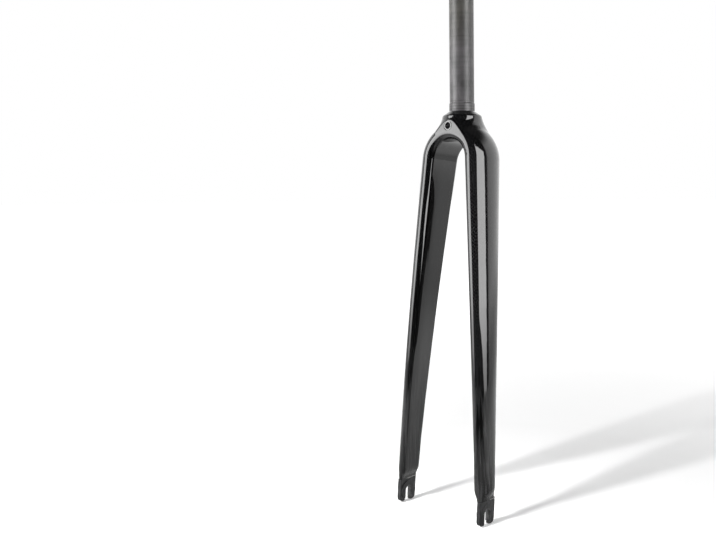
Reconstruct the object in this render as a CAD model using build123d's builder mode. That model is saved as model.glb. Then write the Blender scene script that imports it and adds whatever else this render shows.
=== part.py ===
"""A rigid carbon bicycle fork: a one-inch steerer tube bonded into a one-piece moulding of crown and
blades, with a brake bolt sleeve through the crown and a bonded dropout at the foot of each blade.

Millimetres. +Z runs up the steerer, +X to the fork's right as seen from in front, and the fork
faces -Y. The origin is on the steerer's axis at the foot of the crown race seat.
"""

import os
from math import atan, cos, degrees, radians, sin, sqrt, tan

from build123d import *

# Steerer tube
STEERER_DIAMETER = 25.4
STEERER_BORE = 20.4
STEERER_LENGTH = 300.0
STEERER_CHAMFER = 0.6
CHAMFER_SHARE = 0.4
RACE_SEAT_DIAMETER = 26.4
RACE_SEAT_HEIGHT = 8.0
RACE_SEAT_TAPER = 1.0
FOOT_BORE = 17.0
SOCKET_DEPTH = 25.0
SOCKET_FLOOR = 5.0

# Collar under the lower headset bearing, and the crown below it with its flat front and rear faces
COLLAR_LAND = 0.6
COLLAR_INSET = 3.0
COLLAR_SLOPE = 4.6
COLLAR_SHOULDER = 2.5
NECK_DROP = 13.0
NECK_FLARE = 1.6
NECK_BULGE = 1.2
WAIST_DROP = 24.0
WAIST_BULGE = 8.0
WAIST_RADIUS = 12.0
WAIST_SHARE = 2.6
SKIRT_DROP = 34.0
SKIRT_BULGE = 11.0
CROWN_FOOT_DROP = 44.0
CROWN_FOOT_BULGE = 10.0
CROWN_TUCK = 2.5
FACE_INSET = 0.4
RIDGE_RADIUS = 3.0

# Brake bolt sleeve
SLEEVE_DIAMETER = 9.2
SLEEVE_BORE = 7.0
SLEEVE_DROP = 15.5
SLEEVE_RIM = 0.6
SPOT_FACE_DIAMETER = 10.4
SPOT_FACE_DEPTH = 0.6

# Tyre arch and blades
ARCH_RADIUS = 21.4
BLADE_TOP_WIDTH = 19.9
BLADE_TOP_DEPTH = 46.8
BLADE_TOP_LEAD = 2.7
BLADE_END_WIDTH = 12.7
BLADE_END_DEPTH = 25.2
BLADE_BOW = 1.3
NOSE_SHARE = 0.34
FLAT_SHARE = 0.75
EDGE_SHARE = 0.70

# Blade tips
TIP_FLARE = 1.6
FLARE_START = 0.90
FLARE_END = 0.98
TIP_LENGTH = 11.0
TIP_LIP = 0.4

# Dropouts
AXLE_TO_CROWN = 400.0
RAKE = 33.0
HUB_WIDTH = 100.0
AXLE_SLOT = 9.2
SLOT_TILT = 5.0
PLATE_THICKNESS = 5.0
PLATE_DEPTH = 23.5
PLATE_RISE = 13.0
PLATE_EDGE = 0.8
FRONT_PRONG = 11.3
REAR_PRONG = 11.4
PRONG_ROUND = 5.0
BOSS_DIAMETER = 20.0
HUB_BOSS = 1.0
NUT_BOSS = 0.3
TANG_WIDTH = 4.0
TANG_DEPTH = 13.0
TANG_LENGTH = 20.0

# Places worked out from the sizes above
arch_centre = Vector(0, -BLADE_TOP_LEAD, -SOCKET_DEPTH - SOCKET_FLOOR - ARCH_RADIUS)
tip_end_z = PLATE_RISE - AXLE_TO_CROWN
blade_end_z = tip_end_z + TIP_LENGTH
plate_top = PLATE_RISE + PLATE_DEPTH
plate_x = HUB_WIDTH / 2 + HUB_BOSS + PLATE_THICKNESS / 2
tip_width = PLATE_THICKNESS + 2 * TIP_LIP
tip_depth = PLATE_DEPTH + 2 * TIP_LIP
tip_y = -RAKE + PLATE_RISE * tan(radians(SLOT_TILT))
tip_front_y = tip_y - tip_depth / 2
blade_end_y = tip_front_y + BLADE_END_DEPTH / 2
blade_top = Vector(ARCH_RADIUS + BLADE_TOP_WIDTH / 2, -BLADE_TOP_LEAD, arch_centre.Z)
blade_run = Vector(plate_x, blade_end_y, blade_end_z) - blade_top
splay = atan((blade_run.X + 4 * BLADE_BOW) / -blade_run.Z)
front_run = blade_run.Y - 4 * BLADE_BOW - (BLADE_END_DEPTH - BLADE_TOP_DEPTH) / 2
lean = atan(front_run / blade_run.Z)
arch_sweep = 180 - 2 * degrees(splay)
arch_axis = Axis(arch_centre, (0, cos(lean), -sin(lean)))
collar_diameter = BLADE_TOP_DEPTH - 2 * COLLAR_INSET
arch_plane = Plane(arch_centre, x_dir=(1, 0, 0), z_dir=arch_axis.direction)
arch_reach = ARCH_RADIUS + BLADE_TOP_WIDTH
nose_reach = ARCH_RADIUS + NOSE_SHARE * BLADE_TOP_WIDTH
waist_room = -arch_centre.Z - arch_reach - COLLAR_SLOPE
steerer_wall = (STEERER_DIAMETER - STEERER_BORE) / 2
face_depth = BLADE_TOP_DEPTH / 2 - FACE_INSET
spot_face_y = face_depth / cos(lean) - SPOT_FACE_DEPTH
sleeve_y = arch_centre.Y - (SLEEVE_DROP + arch_centre.Z) * tan(lean)
sleeve_plane = Plane((0, sleeve_y, -SLEEVE_DROP), x_dir=(1, 0, 0), z_dir=(0, -1, 0))
axle_plane = Plane(
    (plate_x, -RAKE, -AXLE_TO_CROWN),
    x_dir=(0, -cos(radians(SLOT_TILT)), sin(radians(SLOT_TILT))),
    z_dir=(-1, 0, 0),
)


def blade_section(plane, width, depth):
    """A blade's outline, from the tyre side at the plane's origin to the outside along its x."""
    nose = NOSE_SHARE * width
    flat = FLAT_SHARE * depth / 2
    outside = width - nose
    edge = EDGE_SHARE * outside
    edge_y = depth / 2 - edge
    side = (outside**2 + depth**2 / 4 - depth * edge) / (2 * (outside - edge))
    side_turn = degrees(atan(edge_y / (side - outside)))
    with BuildSketch(plane) as section:
        with BuildLine():
            Line((0, -flat), (0, flat))
            EllipticalCenterArc((nose, flat), nose, depth / 2 - flat, 90, arc_size=90)
            CenterArc((nose, edge_y), edge, side_turn, 90 - side_turn)
            CenterArc((width - side, 0), side, -side_turn, 2 * side_turn)
            CenterArc((nose, -edge_y), edge, -90, 90 - side_turn)
            EllipticalCenterArc((nose, -flat), nose, depth / 2 - flat, 180, arc_size=90)
        make_face()
    return section.sketch


def ease(share):
    """A smooth step from 0 to 1, level at both ends."""
    share = min(max(share, 0), 1)
    return share * share * (3 - 2 * share)


def blade_station(side, share):
    """The section across one blade, at a share of the way from the arch's centre to its end."""
    bow = 4 * BLADE_BOW * share * (1 - share)
    flare = TIP_FLARE * ease((share - FLARE_START) / (FLARE_END - FLARE_START))
    width = BLADE_TOP_WIDTH + share * (BLADE_END_WIDTH - BLADE_TOP_WIDTH) + flare
    depth = BLADE_TOP_DEPTH + share * (BLADE_END_DEPTH - BLADE_TOP_DEPTH)
    centre = blade_top + share * blade_run + Vector(bow, -bow, 0)
    origin = (side * (centre.X - width / 2), centre.Y, centre.Z)
    plane = Plane(origin, x_dir=(side, 0, 0), z_dir=(0, 0, -side))
    return blade_section(plane, width, depth)


def arch_station(side):
    """The section across one end of the arch, where the blade goes on from it."""
    across, up = side * cos(splay), sin(splay)
    outward = Vector(across, up * sin(lean), up * cos(lean))
    along = Vector(up, -across * sin(lean), -across * cos(lean))
    plane = Plane(arch_centre + ARCH_RADIUS * outward, x_dir=outward, z_dir=along)
    return blade_section(plane, BLADE_TOP_WIDTH, BLADE_TOP_DEPTH)


def collar_section(drop, diameter):
    """The round section across the collar, so far below the race seat's foot."""
    with BuildSketch(Plane.XY.offset(-drop)) as section:
        Circle(diameter / 2)
    return section.sketch


def crown_section(drop, width, bulge):
    """The oval section across the crown, which bulges past the blades' depth and leans with the arch."""
    middle = arch_centre.Y - (drop + arch_centre.Z) * tan(lean)
    with BuildSketch(Plane((0, middle, -drop))) as section:
        Ellipse(width / 2, BLADE_TOP_DEPTH / 2 + bulge)
    return section.sketch


def tucked_width(drop):
    """The crown's width at a height where it is tucked inside the arch's outer side."""
    return 2 * (sqrt(arch_reach**2 - (drop + arch_centre.Z) ** 2) - CROWN_TUCK)


def tip_station(side, share):
    """The section across a blade's tip, at a share of the way down its rounded shoulder."""
    drawn_in = ease(share)
    width = BLADE_END_WIDTH + TIP_FLARE
    width += drawn_in * (tip_width - width)
    depth = BLADE_END_DEPTH + drawn_in * (tip_depth - BLADE_END_DEPTH)
    origin = (side * (plate_x - width / 2), tip_front_y + depth / 2, blade_end_z - share * TIP_LENGTH)
    return blade_section(Plane(origin, x_dir=(side, 0, 0), z_dir=(0, 0, -side)), width, depth)


def tang_plane(side):
    """The foot of a blade's tip, where the dropout's tang goes in."""
    return Plane((side * plate_x, tip_y, tip_end_z))


blade_shares = [0.15, 0.3, 0.45, 0.6, 0.7, 0.8, FLARE_START, 0.94, FLARE_END, 1]
tip_shares = [0, 0.3, 0.5, 0.7, 1]

# Collar and crown, cut flat in front and behind and hollowed for the arch
with BuildPart() as crown:
    collar = [
        collar_section(0, RACE_SEAT_DIAMETER + 2 * COLLAR_LAND),
        collar_section(COLLAR_SLOPE, collar_diameter),
    ]
    loft(sections=collar, ruled=True)
    crown_sections = [
        collar_section(COLLAR_SLOPE, collar_diameter),
        crown_section(NECK_DROP, collar_diameter + 2 * NECK_FLARE, NECK_BULGE),
        crown_section(WAIST_DROP, tucked_width(WAIST_DROP), WAIST_BULGE),
        crown_section(SKIRT_DROP, tucked_width(SKIRT_DROP), SKIRT_BULGE),
        crown_section(CROWN_FOOT_DROP, tucked_width(CROWN_FOOT_DROP), CROWN_FOOT_BULGE),
    ]
    loft(sections=crown_sections)
    shoulder = crown.edges().filter_by_position(Axis.Z, -COLLAR_SLOPE, -COLLAR_SLOPE)
    fillet(shoulder, COLLAR_SHOULDER)
    with BuildSketch(arch_plane):
        Circle(2 * arch_reach)
    extrude(amount=face_depth, both=True, mode=Mode.INTERSECT)
    flats = crown.faces().filter_by(GeomType.PLANE).filter_by(arch_axis)
    ridges = flats.edges().filter_by(lambda edge: edge.center().Z > -CROWN_FOOT_DROP + FACE_INSET)
    fillet(ridges, RIDGE_RADIUS)
    with BuildSketch(arch_plane):
        Circle(nose_reach)
    extrude(amount=BLADE_TOP_DEPTH, both=True, mode=Mode.SUBTRACT)

# Crown and blades, one moulding
with BuildPart() as crown_and_blades:
    revolve(arch_station(-1), axis=arch_axis, revolution_arc=arch_sweep)
    for side in (-1, 1):
        blade = [blade_station(side, share) for share in blade_shares]
        loft(sections=[arch_station(side)] + blade, ruled=True)
    add(crown.part)
    waist = crown_and_blades.edges(Select.NEW)
    fillet(waist, min(WAIST_RADIUS, WAIST_SHARE * waist_room))
    for side in (-1, 1):
        loft(sections=[tip_station(side, share) for share in tip_shares], ruled=True)
    with BuildSketch():
        Circle(STEERER_DIAMETER / 2)
    extrude(amount=-SOCKET_DEPTH, mode=Mode.SUBTRACT)
    with BuildSketch(sleeve_plane):
        Circle(SLEEVE_DIAMETER / 2)
    extrude(amount=BLADE_TOP_DEPTH, both=True, mode=Mode.SUBTRACT)
    for face in (-1, 1):
        with BuildSketch(sleeve_plane.offset(face * spot_face_y)):
            Circle(SPOT_FACE_DIAMETER / 2)
        extrude(amount=face * BLADE_TOP_DEPTH, mode=Mode.SUBTRACT)
    for side in (-1, 1):
        with BuildSketch(tang_plane(side)):
            Rectangle(TANG_WIDTH, TANG_DEPTH)
        extrude(amount=TANG_LENGTH, mode=Mode.SUBTRACT)

# Steerer tube, with the race seat and a thicker foot
with BuildPart() as steerer_tube:
    with BuildSketch(Plane.XZ):
        with BuildLine():
            Polyline(
                (FOOT_BORE / 2, -SOCKET_DEPTH),
                (STEERER_DIAMETER / 2, -SOCKET_DEPTH),
                (STEERER_DIAMETER / 2, 0),
                (RACE_SEAT_DIAMETER / 2, 0),
                (RACE_SEAT_DIAMETER / 2, RACE_SEAT_HEIGHT),
                (STEERER_DIAMETER / 2, RACE_SEAT_HEIGHT + RACE_SEAT_TAPER),
                (STEERER_DIAMETER / 2, STEERER_LENGTH),
                (STEERER_BORE / 2, STEERER_LENGTH),
                (STEERER_BORE / 2, 0),
                (FOOT_BORE / 2, 0),
                close=True,
            )
        make_face()
    revolve(axis=Axis.Z)
    top_edges = steerer_tube.faces().sort_by(Axis.Z)[-1].edges()
    chamfer(top_edges, min(STEERER_CHAMFER, CHAMFER_SHARE * steerer_wall))
    with BuildSketch(sleeve_plane):
        Circle(SLEEVE_DIAMETER / 2)
    extrude(amount=BLADE_TOP_DEPTH, both=True, mode=Mode.SUBTRACT)

# Brake bolt sleeve, standing a little proud of its spot faces
with BuildPart() as brake_sleeve:
    with BuildSketch(sleeve_plane):
        Circle(SLEEVE_DIAMETER / 2)
        Circle(SLEEVE_BORE / 2, mode=Mode.SUBTRACT)
    extrude(amount=spot_face_y + SLEEVE_RIM, both=True)

# Dropouts, each with a tang in the end of its blade
with BuildPart() as right_dropout:
    with BuildSketch(axle_plane):
        with BuildLine():
            Polyline(
                (-PLATE_DEPTH / 2, plate_top),
                (-PLATE_DEPTH / 2, -REAR_PRONG),
                (PLATE_DEPTH / 2, -FRONT_PRONG),
                (PLATE_DEPTH / 2, plate_top),
                close=True,
            )
        outline = make_face()
        fillet(outline.vertices().sort_by(Axis.Y)[:2], PRONG_ROUND)
    extrude(amount=PLATE_THICKNESS / 2, both=True)
    chamfer(right_dropout.faces().filter_by(Axis.X).edges(), PLATE_EDGE)
    with BuildSketch(axle_plane):
        Circle(BOSS_DIAMETER / 2)
    extrude(amount=PLATE_THICKNESS / 2 + HUB_BOSS)
    with BuildSketch(axle_plane):
        Circle(BOSS_DIAMETER / 2)
    extrude(amount=-PLATE_THICKNESS / 2 - NUT_BOSS)
    with BuildSketch(axle_plane):
        Circle(AXLE_SLOT / 2)
        Rectangle(AXLE_SLOT, 2 * FRONT_PRONG, align=(Align.CENTER, Align.MAX))
    extrude(amount=PLATE_THICKNESS, both=True, mode=Mode.SUBTRACT)
    split(bisect_by=Plane.XY.offset(tip_end_z), keep=Keep.BOTTOM)
    with BuildSketch(tang_plane(1)):
        Rectangle(TANG_WIDTH, TANG_DEPTH)
    extrude(amount=TANG_LENGTH)

with BuildPart() as left_dropout:
    mirror(right_dropout.part, about=Plane.YZ)

pieces = {
    "crown_and_blades": crown_and_blades,
    "steerer_tube": steerer_tube,
    "brake_sleeve": brake_sleeve,
    "right_dropout": right_dropout,
    "left_dropout": left_dropout,
}
os.makedirs("parts", exist_ok=True)
for name, piece in pieces.items():
    piece.part.label = name
    export_step(piece.part, f"parts/{name}.step")
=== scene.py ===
"""The fork of the photograph's right-hand view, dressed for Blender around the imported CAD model.

Metres, in the CAD frame: +Z up the steerer, +X across the fork, and the fork faces -Y.
"""
from math import cos, pi, radians, sin

import bmesh
import bpy
from mathutils import Matrix, Vector


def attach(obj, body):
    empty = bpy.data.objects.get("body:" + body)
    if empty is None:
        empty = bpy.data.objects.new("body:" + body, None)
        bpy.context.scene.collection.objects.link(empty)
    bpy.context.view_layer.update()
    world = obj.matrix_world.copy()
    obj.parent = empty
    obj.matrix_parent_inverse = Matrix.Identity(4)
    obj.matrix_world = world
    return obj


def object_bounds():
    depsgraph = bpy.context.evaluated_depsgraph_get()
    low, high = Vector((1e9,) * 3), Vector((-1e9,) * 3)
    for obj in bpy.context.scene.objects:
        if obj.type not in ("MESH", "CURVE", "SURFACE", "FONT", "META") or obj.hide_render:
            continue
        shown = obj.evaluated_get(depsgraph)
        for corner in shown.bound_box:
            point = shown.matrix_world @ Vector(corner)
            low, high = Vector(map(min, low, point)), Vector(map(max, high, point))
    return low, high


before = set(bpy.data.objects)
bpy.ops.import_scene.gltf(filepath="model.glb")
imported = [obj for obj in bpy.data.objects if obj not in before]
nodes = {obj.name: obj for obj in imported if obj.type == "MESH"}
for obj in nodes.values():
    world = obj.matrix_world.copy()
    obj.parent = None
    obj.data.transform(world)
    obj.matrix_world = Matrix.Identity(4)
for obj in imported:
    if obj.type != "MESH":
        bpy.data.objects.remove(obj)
cad_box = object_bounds()
scene = bpy.context.scene
UP = Vector((0, 0, 1))

# Camera, from the photograph's perspective, with angles in degrees
IMAGE_WIDTH = 716
IMAGE_HEIGHT = 540
FOCAL_PIXELS = 819.23
CENTRE_PIXEL = (462.93, 235.0)
CAMERA_DISTANCE = 0.85433
CAMERA_HEIGHT = -0.08455
CAMERA_AZIMUTH = 39.43
CAMERA_PITCH = 2.90
CAMERA_ROLL = -0.40
SENSOR = 36.0
CLIP_START = 0.01


def heading(azimuth):
    """The level direction at an azimuth in degrees, from -Y towards +X."""
    return Vector((sin(radians(azimuth)), -cos(radians(azimuth)), 0))


def add_camera():
    """The camera, with its optical axis at the photograph's vanishing centre."""
    towards = -heading(CAMERA_AZIMUTH)
    right = towards.cross(UP)
    pitch = radians(CAMERA_PITCH)
    forward = cos(pitch) * towards - sin(pitch) * UP
    up = right.cross(forward)
    roll = radians(CAMERA_ROLL)
    x_axis = cos(roll) * right + sin(roll) * up
    y_axis = -sin(roll) * right + cos(roll) * up
    data = bpy.data.cameras.new("camera")
    data.sensor_width = SENSOR
    data.lens = FOCAL_PIXELS / IMAGE_WIDTH * SENSOR
    data.shift_x = (IMAGE_WIDTH / 2 - CENTRE_PIXEL[0]) / IMAGE_WIDTH
    data.shift_y = (CENTRE_PIXEL[1] - IMAGE_HEIGHT / 2) / IMAGE_WIDTH
    data.clip_start = CLIP_START
    camera = bpy.data.objects.new("camera", data)
    turn = Matrix((x_axis, y_axis, -forward)).transposed().to_4x4()
    place = heading(CAMERA_AZIMUTH) * CAMERA_DISTANCE + Vector((0, 0, CAMERA_HEIGHT))
    camera.matrix_world = Matrix.Translation(place) @ turn
    scene.collection.objects.link(camera)
    scene.camera = camera


add_camera()


# Shader nodes
def node(tree, kind, **values):
    """A new shader node with its properties set."""
    made = tree.nodes.new(kind)
    for name, value in values.items():
        setattr(made, name, value)
    return made


def feed(tree, socket, value):
    """Set a socket to a number, or link it to another node's output."""
    if isinstance(value, bpy.types.NodeSocket):
        tree.links.new(value, socket)
    else:
        socket.default_value = value


def feed_row(tree, sockets, values):
    """Feed a row of sockets in order."""
    for socket, value in zip(sockets, values):
        feed(tree, socket, value)


def calc(tree, operation, *terms):
    """The result of one math node."""
    made = node(tree, "ShaderNodeMath", operation=operation)
    feed_row(tree, made.inputs, terms)
    return made.outputs[0]


def product(tree, first, *others):
    """Several values multiplied."""
    for other in others:
        first = calc(tree, "MULTIPLY", first, other)
    return first


def hypotenuse(tree, first, second):
    """The length of two steps at right angles."""
    squares = [product(tree, step, step) for step in (first, second)]
    return calc(tree, "SQRT", calc(tree, "ADD", *squares))


def vector_calc(tree, operation, *terms):
    """The result of one vector math node, a number for a dot product."""
    made = node(tree, "ShaderNodeVectorMath", operation=operation)
    feed_row(tree, made.inputs, terms)
    return made.outputs["Value" if operation == "DOT_PRODUCT" else "Vector"]


def unit(tree, vector):
    """A vector at a length of 1."""
    return vector_calc(tree, "NORMALIZE", vector)


def split(tree, vector):
    """A vector's x, y and z."""
    made = node(tree, "ShaderNodeSeparateXYZ")
    tree.links.new(vector, made.inputs[0])
    return made.outputs["X"], made.outputs["Y"], made.outputs["Z"]


def ramp(tree, value, start, end, low=0.0, high=1.0):
    """A smooth step of a value, from one level at its start to another at its end."""
    made = node(tree, "ShaderNodeMapRange", interpolation_type="SMOOTHSTEP")
    feed_row(tree, made.inputs, (value, start, end, low, high))
    return made.outputs["Result"]


def steps(tree, value, start, end, stops):
    """A value read off a row of (place, level) stops between a start and an end."""
    share = node(tree, "ShaderNodeMapRange")
    feed_row(tree, share.inputs, (value, start, end, 0.0, 1.0))
    made = node(tree, "ShaderNodeValToRGB")
    row = made.color_ramp.elements
    while len(row) < len(stops):
        row.new(0.5)
    for element, (place, level) in zip(row, stops):
        element.position = (place - start) / (end - start)
        element.color = (level, level, level, 1)
    tree.links.new(share.outputs["Result"], made.inputs["Fac"])
    return made.outputs["Color"]


def noise(tree, place, scale, detail, stretch=None):
    """Soft noise between 0 and 1, drawn out along an axis whose stretch is below 1."""
    if stretch:
        place = vector_calc(tree, "MULTIPLY", place, stretch)
    made = node(tree, "ShaderNodeTexNoise")
    tree.links.new(place, made.inputs["Vector"])
    made.inputs["Scale"].default_value = scale
    made.inputs["Detail"].default_value = detail
    return made.outputs["Fac"]


def blend(tree, factor, first, second):
    """A mix of two colours."""
    made = node(tree, "ShaderNodeMix", data_type="RGBA")
    feed_row(tree, (made.inputs[0], made.inputs[6], made.inputs[7]), (factor, first, second))
    return made.outputs[2]


def bump(tree, height, depth, strength, normal=None):
    """A bumped normal from a height between 0 and 1 and its depth in metres."""
    made = node(tree, "ShaderNodeBump")
    feed(tree, made.inputs["Strength"], strength)
    made.inputs["Distance"].default_value = depth
    tree.links.new(height, made.inputs["Height"])
    if normal:
        tree.links.new(normal, made.inputs["Normal"])
    return made.outputs["Normal"]


def own_place(tree):
    """The surface's place in its object's frame, which for the fork and the floor is the CAD frame."""
    return node(tree, "ShaderNodeTexCoord").outputs["Object"]


def glow(tree, strength):
    """White light from a surface."""
    made = node(tree, "ShaderNodeEmission")
    tree.links.new(strength, made.inputs["Strength"])
    return made.outputs[0]


def clear(tree):
    """A surface that isn't there."""
    return node(tree, "ShaderNodeBsdfTransparent").outputs[0]


def mix_shaders(tree, factor, first, second):
    """A mix of two shaders."""
    made = node(tree, "ShaderNodeMixShader")
    feed_row(tree, made.inputs, (factor, first, second))
    return made.outputs[0]


def empty_material(name):
    """A material with no nodes yet."""
    material = bpy.data.materials.new(name)
    material.use_nodes = True
    material.node_tree.nodes.clear()
    return material, material.node_tree


def finish_surface(tree, shader):
    """Send a shader to the material's output."""
    output = node(tree, "ShaderNodeOutputMaterial")
    tree.links.new(shader, output.inputs["Surface"])


def principled(tree, **values):
    """A Principled shader as the material's surface, with its sockets set by name."""
    shader = node(tree, "ShaderNodeBsdfPrincipled")
    for name, value in values.items():
        feed(tree, shader.inputs[name.replace("_", " ")], value)
    finish_surface(tree, shader.outputs[0])


# Studio: white surroundings, dark behind the camera and overhead, two soft boxes and three lamps.
# Sides are in degrees from the camera towards picture right. Ramps are start, end and, where they
# aren't 0 and 1, two levels.
FOCUS = Vector((0, -0.01, -0.2))
LIGHT_DISTANCE = 1.5
LAMPS = [
    {"name": "left_lamp", "side": -80, "height": 0.2, "width": 1.0, "watts": 5},
    {"name": "right_lamp", "side": 58, "height": 0.2, "width": 1.0, "watts": 9},
    {"name": "key_lamp", "side": -50, "height": 0.8, "width": 0.34, "watts": 55},
]

# A soft box's front: its glow, the strips over which its edges fade, and how it narrows and dims below
BOX_GLOW = 6.0
BOX_HALF_WIDTH = 1.0
BOX_NEAR_EDGE = 0.05
BOX_FAR_EDGE = 0.03
BOX_TOP_EDGE = 0.08
BOX_NARROWING = 0.55
BOX_DIMMING = 0.4
BOX_FOOT_LEVEL = 0.35
BOX_FAINTEST = 0.02

# The surroundings in gloss by side, overhead and below, and their light on dull surfaces
WORLD_SIDES = [(-180, 0.8), (-112, 0.8), (-96, 0.25), (-62, 0.06), (-50, 0.02), (77, 0.02),
               (82, 0.85), (96, 0.95), (112, 0.95), (180, 0.8)]
WORLD_OVERHEAD = (0.5, 0.8, 1.6, 0.06)
WORLD_BELOW = (-0.12, -0.02, 0.48, 1.0)
WORLD_DIM = 0.15
WORLD_SEEN = 1.0
WHITE = (1, 1, 1, 1)

# The floor: its white, the light painted for the camera by reach from the steerer's axis, which keeps it
# white and fades the fork's shadow near the prongs, and the painted glow of a table top that gloss sees
# instead of it, by side and by reach, with painted shade under the fork
FLOOR_Z = cad_box[0][2]
FLOOR_HALF = 30.0
FLOOR_WHITE = (0.92, 0.92, 0.92, 1)
LIFT_STOPS = [(0.0, 0.35), (0.07, 0.33), (0.12, 0.14), (0.2, 0.05), (0.3, 0.06), (0.8, 0.44), (1.5, 1.0)]
LIFT_REACH = 2.0
TABLE_SIDES = [(-180, 1.0), (-80, 1.0), (-45, 0.06), (36, 0.06), (50, 0.85), (100, 1.0), (180, 1.0)]
TABLE_FAR = (0.5, 1.0, 1.0, 0.68)
TABLE_LEAST = (0.3, 0.7, 0.55, 0.0)
TABLE_SHADE_UNDER = (0.1, 0.5, 0.6, 1.0)
TABLE_EDGE = (1.1, 1.3)


def light_place(side, height):
    """A place round the fork at the lights' distance."""
    return heading(CAMERA_AZIMUTH + side) * LIGHT_DISTANCE + Vector((FOCUS.x, FOCUS.y, height))


def side_levels(tree, direction, stops):
    """A level for a direction from a row of (side, level) stops."""
    to_right = vector_calc(tree, "DOT_PRODUCT", direction, heading(CAMERA_AZIMUTH + 90))
    to_front = vector_calc(tree, "DOT_PRODUCT", direction, heading(CAMERA_AZIMUTH))
    turn = calc(tree, "ARCTAN2", to_right, to_front)
    return steps(tree, turn, -pi, pi, [(radians(side), level) for side, level in stops])


def flat_piece(name, corners, material):
    """A piece of one flat face."""
    mesh = bpy.data.meshes.new(name)
    mesh.from_pydata(corners, [], [(0, 1, 2, 3)])
    mesh.materials.append(material)
    made = bpy.data.objects.new(name, mesh)
    scene.collection.objects.link(made)
    return made


def add_lamp(name, side, height, width, watts):
    """A soft lamp that faces the fork and lights it without showing in its gloss."""
    data = bpy.data.lights.new(name, "AREA")
    data.shape = "RECTANGLE"
    data.size = width
    data.size_y = width
    data.energy = watts
    made = bpy.data.objects.new(name, data)
    made.location = light_place(side, height)
    made.rotation_euler = (FOCUS - made.location).to_track_quat("-Z", "Y").to_euler()
    made.visible_camera = False
    made.visible_glossy = False
    scene.collection.objects.link(made)


def box_level(tree, near, far, near_low, far_low, bottom, top, slant):
    """A soft box's front: even inside its edges, drawn in and fading towards its foot."""
    across, up, _ = split(tree, own_place(tree))
    edge = calc(tree, "ADD", up, product(tree, across, slant))
    rise = ramp(tree, up, bottom, bottom + BOX_NARROWING)
    first = calc(tree, "ADD", near_low, product(tree, rise, near - near_low))
    last = calc(tree, "ADD", far_low, product(tree, rise, far - far_low))
    inside = product(tree,
                     ramp(tree, calc(tree, "SUBTRACT", across, first), 0.0, BOX_NEAR_EDGE),
                     ramp(tree, calc(tree, "SUBTRACT", last, across), 0.0, BOX_FAR_EDGE))
    height = product(tree,
                     ramp(tree, up, bottom, bottom + BOX_DIMMING, BOX_FOOT_LEVEL, 1.0),
                     ramp(tree, edge, top - BOX_TOP_EDGE, top, 1.0, 0.0))
    return product(tree, inside, height)


def soft_box(name, side, bottom, top, **edges):
    """The glowing front of a soft box, which the lacquer mirrors. Widths are towards picture right."""
    material, tree = empty_material(name)
    level = box_level(tree, bottom=bottom, top=top, **edges)
    light = glow(tree, product(tree, level, BOX_GLOW))
    finish_surface(tree, mix_shaders(tree, ramp(tree, level, 0.0, BOX_FAINTEST), clear(tree), light))
    left, right = -BOX_HALF_WIDTH, BOX_HALF_WIDTH
    corners = [(left, bottom, 0), (right, bottom, 0), (right, 2 * top, 0), (left, 2 * top, 0)]
    card = flat_piece(name, corners, material)
    inward = -heading(CAMERA_AZIMUTH + side)
    across = UP.cross(inward)
    turn = Matrix((-across, UP, inward)).transposed().to_4x4()
    card.matrix_world = Matrix.Translation(light_place(side, 0)) @ turn
    card.visible_camera = False
    card.visible_diffuse = False
    card.visible_shadow = False


def background(tree, strength):
    """White light from the surroundings."""
    made = node(tree, "ShaderNodeBackground")
    made.inputs["Color"].default_value = WHITE
    feed(tree, made.inputs["Strength"], strength)
    return made.outputs[0]


def build_world():
    """White for the camera, dim for diffuse light, and the studio's bright and dark sides in gloss."""
    world = bpy.data.worlds.new("studio")
    scene.world = world
    world.use_nodes = True
    tree = world.node_tree
    tree.nodes.clear()
    path = node(tree, "ShaderNodeLightPath").outputs
    direction = node(tree, "ShaderNodeTexCoord").outputs["Generated"]
    _, _, rise = split(tree, direction)
    mirrored = product(tree, side_levels(tree, direction, WORLD_SIDES),
                       ramp(tree, rise, *WORLD_OVERHEAD), ramp(tree, rise, *WORLD_BELOW))
    shiny = calc(tree, "MAXIMUM", path["Is Glossy Ray"], path["Is Transmission Ray"])
    lit = mix_shaders(tree, shiny, background(tree, WORLD_DIM), background(tree, mirrored))
    surface = mix_shaders(tree, path["Is Camera Ray"], lit, background(tree, WORLD_SEEN))
    output = node(tree, "ShaderNodeOutputWorld")
    tree.links.new(surface, output.inputs["Surface"])


def build_floor():
    """A white floor keeping the fork's shadow, faded near the prongs by painted light, showing gloss a
    painted table glow.
    """
    material, tree = empty_material("white_floor")
    path = node(tree, "ShaderNodeLightPath").outputs
    place = own_place(tree)
    x, y, _ = split(tree, place)
    reach = hypotenuse(tree, x, y)
    level = product(tree, side_levels(tree, place, TABLE_SIDES), ramp(tree, reach, *TABLE_FAR))
    level = calc(tree, "MAXIMUM", level, ramp(tree, reach, *TABLE_LEAST))
    level = product(tree, level, ramp(tree, reach, *TABLE_SHADE_UNDER))
    # Gloss sees a painted glow here instead of the floor, set by side and by reach, with painted shade under
    # the fork
    table_glow = mix_shaders(tree, ramp(tree, reach, *TABLE_EDGE), glow(tree, level), clear(tree))
    diffuse = node(tree, "ShaderNodeBsdfDiffuse")
    diffuse.inputs["Color"].default_value = FLOOR_WHITE
    # Light painted for the camera only keeps the far floor white and fades the fork's shadow near the prongs
    lift = product(tree, path["Is Camera Ray"], steps(tree, reach, 0.0, LIFT_REACH, LIFT_STOPS))
    seen = node(tree, "ShaderNodeAddShader")
    feed_row(tree, seen.inputs, (diffuse.outputs[0], glow(tree, lift)))
    finish_surface(tree, mix_shaders(tree, path["Is Glossy Ray"], seen.outputs[0], table_glow))
    signs = [(-1, -1), (1, -1), (1, 1), (-1, 1)]
    corners = [(across * FLOOR_HALF, along * FLOOR_HALF, FLOOR_Z) for across, along in signs]
    floor = flat_piece("floor", corners, material)


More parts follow.
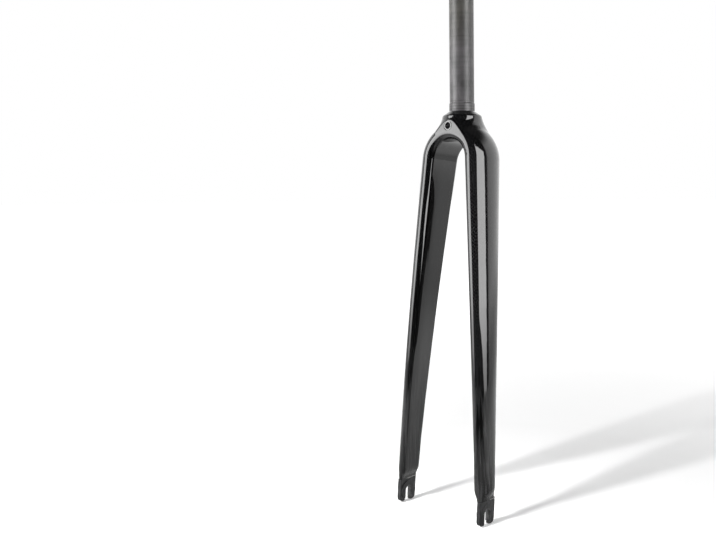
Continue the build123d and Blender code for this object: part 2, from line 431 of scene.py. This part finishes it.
for values in LAMPS:
    add_lamp(**values)
soft_box("left_soft_box", -76, bottom=-0.5, top=1.4, slant=0.0,
         near=-0.55, far=0.5, near_low=-0.55, far_low=0.5)
soft_box("right_soft_box", 52, bottom=-0.5, top=1.07, slant=1.05,
         near=-0.5, far=0.45, near_low=-0.1, far_low=0.4)
build_world()
build_floor()


# Finishes: colours are linear, and ramps are as above.
# Lacquered carbon: the cloth's tow, where the cloth wraps the blades, and the fibres' colours
TOW = 0.0017
WRAP_FOOT_Z = (-0.30, -0.24)
WRAP_TOP_Z = (-0.06, -0.03, 1.0, 0.25)
WRAP_OUTWARD = (-0.3, 0.2)
BARE_FOOT_Z = (-0.33, -0.22, 1.0, 0.0)
LINES_BUMP_Z = (-0.36, -0.2, 0.6, 0.1)
STREAK_COLOURS = ((0.0006, 0.0006, 0.00065, 1), (0.005, 0.005, 0.0053, 1))
CLOTH_COLOURS = ((0.0004, 0.0004, 0.00045, 1), (0.012, 0.012, 0.0125, 1))
BARE_COLOURS = ((0.0008, 0.0008, 0.0009, 1), (0.022, 0.022, 0.0225, 1))
LACQUER_IOR = 1.65

# The inner face of a blade, by the share of the way down it: the y of its front edge and the scale of
# its depth, and by the distance behind that edge, how far the normal turns forward and upward
FACE_TOP_Z = -0.0514
FACE_HEIGHT = 0.3246
EDGE_TOP_Y = -0.0261
EDGE_SLOPE = -0.0231
EDGE_CURVE = 0.0052
DEPTH_TOP = 1.074
DEPTH_CHANGE = -0.507
TURN_STOPS = [(0.002, 0.75), (0.0023, 0.61), (0.0036, 0.54), (0.0041, 0.38), (0.006, 0.33),
              (0.011, 0.22), (0.014, 0.16), (0.0165, 0.07), (0.022, 0.0)]
TURN_END = 0.024
TURN_START = (0.0016, 0.002)
TURN_UPWARD = (0.0036, 0.0041, 0.09, 0.0)
INNER_SIDE = (-0.65, -0.5, 1.0, 0.0)
INNER_TOP_Z = (-0.1, -0.046, 1.0, 0.0)
INNER_FOOT_Z = (-0.31, -0.23)

# Ground carbon: the turned rings at its foot, the scribed line, and its greys, warmer higher up
RING_PITCH = 0.0028
RING_TOP_Z = (0.009, 0.014, 1.0, 0.0)
SCRIBE_Z = 0.0757
SCRIBE_HALF = 0.0006
SHADE_RANGE = (0.3, 0.7)
GREY_COLOURS = ((0.011, 0.0104, 0.0109, 1), (0.055, 0.0522, 0.0543, 1))
WARM_COLOURS = ((0.007, 0.0066, 0.0058, 1), (0.044, 0.0418, 0.0372, 1))
WARM_FROM_Z = (0.05, 0.1)

# Black alloy: the axle, the lean of its slot in degrees, and the rubbed strip round the slot
AXLE_Y = -0.033
AXLE_Z = -0.4
SLOT_LEAN = 5.0
RUBBED_REACH = (0.0047, 0.0058, 1.0, 0.0)
ANODISED_COLOURS = ((0.006, 0.006, 0.0065, 1), (0.030, 0.030, 0.031, 1))
RUBBED_COLOUR = (0.08, 0.08, 0.08, 1)

# Sleeve alloy: the sleeve's axis, the pitch of its turning, and the lacquer over its ends
SLEEVE_Z = -0.0155
SLEEVE_PITCH = 0.0004
SLEEVE_END_Y = (0.0222, 0.0228)
SLEEVE_COLOUR = (0.42, 0.42, 0.43, 1)
SLEEVE_LACQUER = (0.006, 0.006, 0.006, 1)

# The resin's pale greys are partly a painted highlight along the rear of each blade's shoulder
RESIN_AND_HIGHLIGHT_COLOURS = ((0.24, 0.24, 0.23, 1), (0.42, 0.42, 0.40, 1))


def pick(tree, choice, first, second):
    """One value where a choice is 1, and another where it is 0."""
    other = calc(tree, "SUBTRACT", 1.0, choice)
    return calc(tree, "ADD", product(tree, choice, first), product(tree, other, second))


def wave(tree, value, pitch):
    """A sine wave along a length."""
    return calc(tree, "SINE", product(tree, value, 2 * pi / pitch))


def weave(tree, across, along):
    """A plain weave: which tow lies on top, and its rounded height."""
    column = calc(tree, "DIVIDE", across, TOW)
    line = calc(tree, "DIVIDE", along, TOW)
    step = calc(tree, "ADD", calc(tree, "FLOOR", column), calc(tree, "FLOOR", line))
    over = calc(tree, "LESS_THAN", calc(tree, "FLOORED_MODULO", step, 2.0), 0.5)
    warp, weft = [calc(tree, "SINE", product(tree, calc(tree, "FRACT", tow), pi)) for tow in (column, line)]
    return over, pick(tree, over, warp, weft)


def crowned_normal(tree, normal, outward, y, z):
    """The normal with the inner faces' slight crown and soft front edge, which turn it by steps."""
    share = calc(tree, "DIVIDE", calc(tree, "SUBTRACT", FACE_TOP_Z, z), FACE_HEIGHT)
    slope = calc(tree, "MULTIPLY_ADD", share, EDGE_CURVE, EDGE_SLOPE)
    edge = calc(tree, "MULTIPLY_ADD", share, slope, EDGE_TOP_Y)
    depth = calc(tree, "MULTIPLY_ADD", share, DEPTH_CHANGE, DEPTH_TOP)
    behind = calc(tree, "DIVIDE", calc(tree, "SUBTRACT", y, edge), depth)
    forward = product(tree, steps(tree, behind, 0.0, TURN_END, TURN_STOPS), -1.0)
    shift = node(tree, "ShaderNodeCombineXYZ")
    tree.links.new(forward, shift.inputs["Y"])
    tree.links.new(ramp(tree, behind, *TURN_UPWARD), shift.inputs["Z"])
    square = unit(tree, vector_calc(tree, "MULTIPLY", normal, (1.0, 0.0, 1.0)))
    turned = unit(tree, vector_calc(tree, "ADD", square, shift.outputs[0]))
    inner = product(tree, ramp(tree, outward, *INNER_SIDE), ramp(tree, behind, *TURN_START))
    height = product(tree, ramp(tree, z, *INNER_TOP_Z), ramp(tree, z, *INNER_FOOT_Z))
    change = node(tree, "ShaderNodeVectorMath", operation="SCALE")
    tree.links.new(vector_calc(tree, "SUBTRACT", turned, normal), change.inputs[0])
    tree.links.new(product(tree, inner, height), change.inputs["Scale"])
    return unit(tree, vector_calc(tree, "ADD", normal, change.outputs[0]))


def lacquered_carbon():
    """Black woven and long carbon fibres under clear gloss lacquer."""
    material, tree = empty_material("lacquered_carbon")
    place = own_place(tree)
    x, y, z = split(tree, place)
    normal = node(tree, "ShaderNodeNewGeometry").outputs["Normal"]
    normal_x, normal_y, _ = split(tree, normal)
    outward = product(tree, normal_x, calc(tree, "SIGN", x))
    facing = calc(tree, "SUBTRACT", calc(tree, "ABSOLUTE", normal_x), calc(tree, "ABSOLUTE", normal_y))
    sideways = ramp(tree, facing, -0.02, 0.02)
    over, height = weave(tree, pick(tree, sideways, y, x), z)
    wrap = product(tree, ramp(tree, z, *WRAP_FOOT_Z), ramp(tree, z, *WRAP_TOP_Z),
                   ramp(tree, outward, *WRAP_OUTWARD))
    long_fibres = noise(tree, place, scale=900.0, detail=3.0, stretch=(1.0, 1.0, 0.03))
    streaks = blend(tree, ramp(tree, long_fibres, 0.35, 0.75), *STREAK_COLOURS)
    cloth = blend(tree, over, *CLOTH_COLOURS)
    lines = noise(tree, place, scale=420.0, detail=2.0, stretch=(1.0, 1.0, 0.02))
    bare = blend(tree, ramp(tree, lines, 0.42, 0.62), *BARE_COLOURS)
    colour = blend(tree, ramp(tree, z, *BARE_FOOT_Z), blend(tree, wrap, streaks, cloth), bare)
    waves = noise(tree, place, scale=70.0, detail=1.0, stretch=(1.0, 1.0, 0.35))
    gloss = bump(tree, waves, depth=0.0004, strength=0.25,
                 normal=crowned_normal(tree, normal, outward, y, z))
    gloss = bump(tree, lines, depth=0.00012, strength=ramp(tree, z, *LINES_BUMP_Z), normal=gloss)
    relief = bump(tree, height, depth=0.0002, strength=0.12)
    principled(tree, Base_Color=colour, Roughness=0.4, Specular_IOR_Level=0.02, Normal=relief,
               Coat_Weight=1.0, Coat_Roughness=0.03, Coat_IOR=LACQUER_IOR, Coat_Normal=gloss)
    return material


def ground_carbon():
    """Bare carbon, ground to size: mottled satin grey with turned rings and a scribed line."""
    material, tree = empty_material("ground_carbon")
    place = own_place(tree)
    _, _, z = split(tree, place)
    mottle = noise(tree, place, scale=95.0, detail=4.0, stretch=(1.0, 1.0, 0.55))
    bands = noise(tree, place, scale=260.0, detail=3.0, stretch=(0.04, 0.04, 1.0))
    rings = product(tree, wave(tree, z, RING_PITCH), ramp(tree, z, *RING_TOP_Z))
    from_scribe = calc(tree, "ABSOLUTE", calc(tree, "SUBTRACT", z, SCRIBE_Z))
    scribe = ramp(tree, from_scribe, 0.0, SCRIBE_HALF, 1.0, 0.0)
    shade = calc(tree, "ADD", product(tree, mottle, 0.65), product(tree, bands, 0.35))
    shade = calc(tree, "ADD", shade, product(tree, rings, 0.10))
    shade = calc(tree, "SUBTRACT", shade, product(tree, scribe, 0.15))
    lightness = ramp(tree, shade, *SHADE_RANGE)
    grey = blend(tree, lightness, *GREY_COLOURS)
    warm = blend(tree, lightness, *WARM_COLOURS)
    colour = blend(tree, ramp(tree, z, *WARM_FROM_Z), grey, warm)
    fine = noise(tree, place, scale=2600.0, detail=2.0, stretch=(0.1, 0.1, 1.0))
    principled(tree, Base_Color=colour, Roughness=ramp(tree, shade, *SHADE_RANGE, 0.47, 0.4), IOR=1.66,
               Normal=bump(tree, fine, depth=0.00004, strength=0.6))
    return material


def slot_reach(tree, y, z):
    """The distance from the middle line of the axle's slot, which is open downward."""
    lean = radians(SLOT_LEAN)
    from_y = calc(tree, "SUBTRACT", y, AXLE_Y)
    from_z = calc(tree, "SUBTRACT", z, AXLE_Z)
    down = calc(tree, "SUBTRACT", product(tree, from_y, -sin(lean)), product(tree, from_z, cos(lean)))
    side = calc(tree, "SUBTRACT", product(tree, from_z, sin(lean)), product(tree, from_y, cos(lean)))
    return hypotenuse(tree, side, calc(tree, "MINIMUM", down, 0.0))


def black_alloy():
    """Black anodised alloy: brushed, with a fine grain, and brighter where the axle has rubbed the slot."""
    material, tree = empty_material("black_alloy")
    place = own_place(tree)
    _, y, z = split(tree, place)
    grain = noise(tree, place, scale=3500.0, detail=2.0)
    patches = noise(tree, place, scale=260.0, detail=3.0)
    rubbed = product(tree, ramp(tree, slot_reach(tree, y, z), *RUBBED_REACH), ramp(tree, patches, 0.35, 0.6))
    brush = noise(tree, place, scale=900.0, detail=2.0, stretch=(1.0, 1.0, 0.06))
    shade = calc(tree, "MULTIPLY_ADD", brush, 0.6, product(tree, patches, 0.4))
    black = blend(tree, ramp(tree, shade, 0.36, 0.64), *ANODISED_COLOURS)
    colour = blend(tree, rubbed, black, RUBBED_COLOUR)
    principled(tree, Base_Color=colour, Roughness=ramp(tree, patches, 0.3, 0.7, 0.48, 0.36), IOR=1.5,
               Normal=bump(tree, grain, depth=0.00004, strength=0.5))
    return material


def sleeve_alloy():
    """Turned alloy, with the moulding's black lacquer over its two ends."""
    material, tree = empty_material("sleeve_alloy")
    x, y, z = split(tree, own_place(tree))
    radius = hypotenuse(tree, x, calc(tree, "SUBTRACT", z, SLEEVE_Z))
    rings = wave(tree, calc(tree, "ADD", radius, y), SLEEVE_PITCH)
    lacquer = ramp(tree, calc(tree, "ABSOLUTE", y), *SLEEVE_END_Y)
    colour = blend(tree, lacquer, SLEEVE_COLOUR, SLEEVE_LACQUER)
    bare = calc(tree, "SUBTRACT", 1.0, lacquer)
    principled(tree, Base_Color=colour, Metallic=bare, Roughness=ramp(tree, rings, -1.0, 1.0, 0.3, 0.42),
               Coat_Weight=lacquer, Coat_Roughness=0.05, Coat_IOR=LACQUER_IOR,
               Normal=bump(tree, rings, depth=0.00003, strength=0.4))
    return material


def resin_and_highlight():
    """Pale set resin with small bubbles; the paleness is a painted highlight along the rear of each blade's
    shoulder.
    """
    material, tree = empty_material("resin_and_highlight")
    bubbles = noise(tree, own_place(tree), scale=1800.0, detail=3.0)
    colour = blend(tree, ramp(tree, bubbles, 0.3, 0.7), *RESIN_AND_HIGHLIGHT_COLOURS)
    principled(tree, Base_Color=colour, Roughness=ramp(tree, bubbles, 0.3, 0.7, 0.3, 0.45), IOR=1.5,
               Normal=bump(tree, bubbles, depth=0.00005, strength=0.4))
    return material


# Resin squeezed out round the rear of each dropout's plate, under the blade's lip, pale as a painted
# highlight of the shoulder's rear edge
BEAD_RADIUS = 0.00042
BEAD_Z = -0.38728
BEAD_OUTER_START_Y = -0.0285
BEAD_INNER_END_Y = -0.0365
BEAD_OUTER_STEPS = 10
BEAD_INNER_STEPS = 18
BEAD_CORNER_STEPS = 6
BEAD_SIDES = 12
BEAD_END_SHARE = 0.25
BEAD_RIPPLE = 0.12
BEAD_RIPPLE_TURN = 1.9
PLATE_OUTER_X = 0.0561
PLATE_INNER_X = 0.0509
PLATE_REAR_Y = -0.02002
PLATE_CORNER = 0.0009


def bead_path(side):
    """The bead's line, from the plate's outer face round its rear edge and along its inner face."""
    rear = PLATE_REAR_Y - PLATE_CORNER
    outer_run = rear - BEAD_OUTER_START_Y
    inner_run = rear - BEAD_INNER_END_Y
    line = [(PLATE_OUTER_X, BEAD_OUTER_START_Y + step * outer_run / BEAD_OUTER_STEPS)
            for step in range(BEAD_OUTER_STEPS)]
    for centre, start in ((PLATE_OUTER_X - PLATE_CORNER, 0), (PLATE_INNER_X + PLATE_CORNER, 90)):
        turns = [radians(start + step * 90 / BEAD_CORNER_STEPS) for step in range(BEAD_CORNER_STEPS + 1)]
        line += [(centre + PLATE_CORNER * cos(turn), rear + PLATE_CORNER * sin(turn)) for turn in turns]
    line += [(PLATE_INNER_X, rear - step * inner_run / BEAD_INNER_STEPS)
             for step in range(1, BEAD_INNER_STEPS + 1)]
    return [Vector((side * x, y, BEAD_Z)) for x, y in line]


def bead_ring(line, index):
    """The corners of the bead's section at one point of its line."""
    last = len(line) - 1
    along = line[min(index + 1, last)] - line[max(index - 1, 0)]
    out = along.normalized().cross(UP)
    from_end = min(index, last - index)
    thinning = min(1.0, BEAD_END_SHARE + BEAD_END_SHARE * from_end)
    radius = BEAD_RADIUS * thinning * (1 + BEAD_RIPPLE * sin(BEAD_RIPPLE_TURN * index))
    turns = [2 * pi * step / BEAD_SIDES for step in range(BEAD_SIDES)]
    return [line[index] + radius * (cos(turn) * out + sin(turn) * UP) for turn in turns]


def add_bead(name, side, material):
    """A thin bead of resin that thins out at both ends."""
    line = bead_path(side)
    vertices = []
    for index in range(len(line)):
        vertices += bead_ring(line, index)
    faces = [tuple(range(BEAD_SIDES)), tuple(range(len(vertices) - BEAD_SIDES, len(vertices)))]
    for start in range(0, len(vertices) - BEAD_SIDES, BEAD_SIDES):
        for step in range(BEAD_SIDES):
            first = start + step
            second = start + (step + 1) % BEAD_SIDES
            faces.append((first, second, second + BEAD_SIDES, first + BEAD_SIDES))
    mesh = bpy.data.meshes.new(name)
    mesh.from_pydata(vertices, [], faces)
    shape = bmesh.new()
    shape.from_mesh(mesh)
    bmesh.ops.recalc_face_normals(shape, faces=shape.faces)
    shape.to_mesh(mesh)
    shape.free()
    mesh.shade_smooth()
    mesh.materials.append(material)
    bead = bpy.data.objects.new(name, mesh)
    scene.collection.objects.link(bead)
    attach(bead, "root")


finishes = {
    "crown_and_blades": lacquered_carbon(),
    "steerer_tube": ground_carbon(),
    "brake_sleeve": sleeve_alloy(),
    "left_dropout": black_alloy(),
    "right_dropout": black_alloy(),
}
for name, material in finishes.items():
    piece = nodes[name]
    piece.data.materials.clear()
    piece.data.materials.append(material)

# The beads' pale resin is partly a painted highlight along the rear of the blades' shoulders
resin = resin_and_highlight()
add_bead("left_bead_and_highlight", -1, resin)
add_bead("right_bead_and_highlight", 1, resin)

scene.view_settings.view_transform = "Standard"
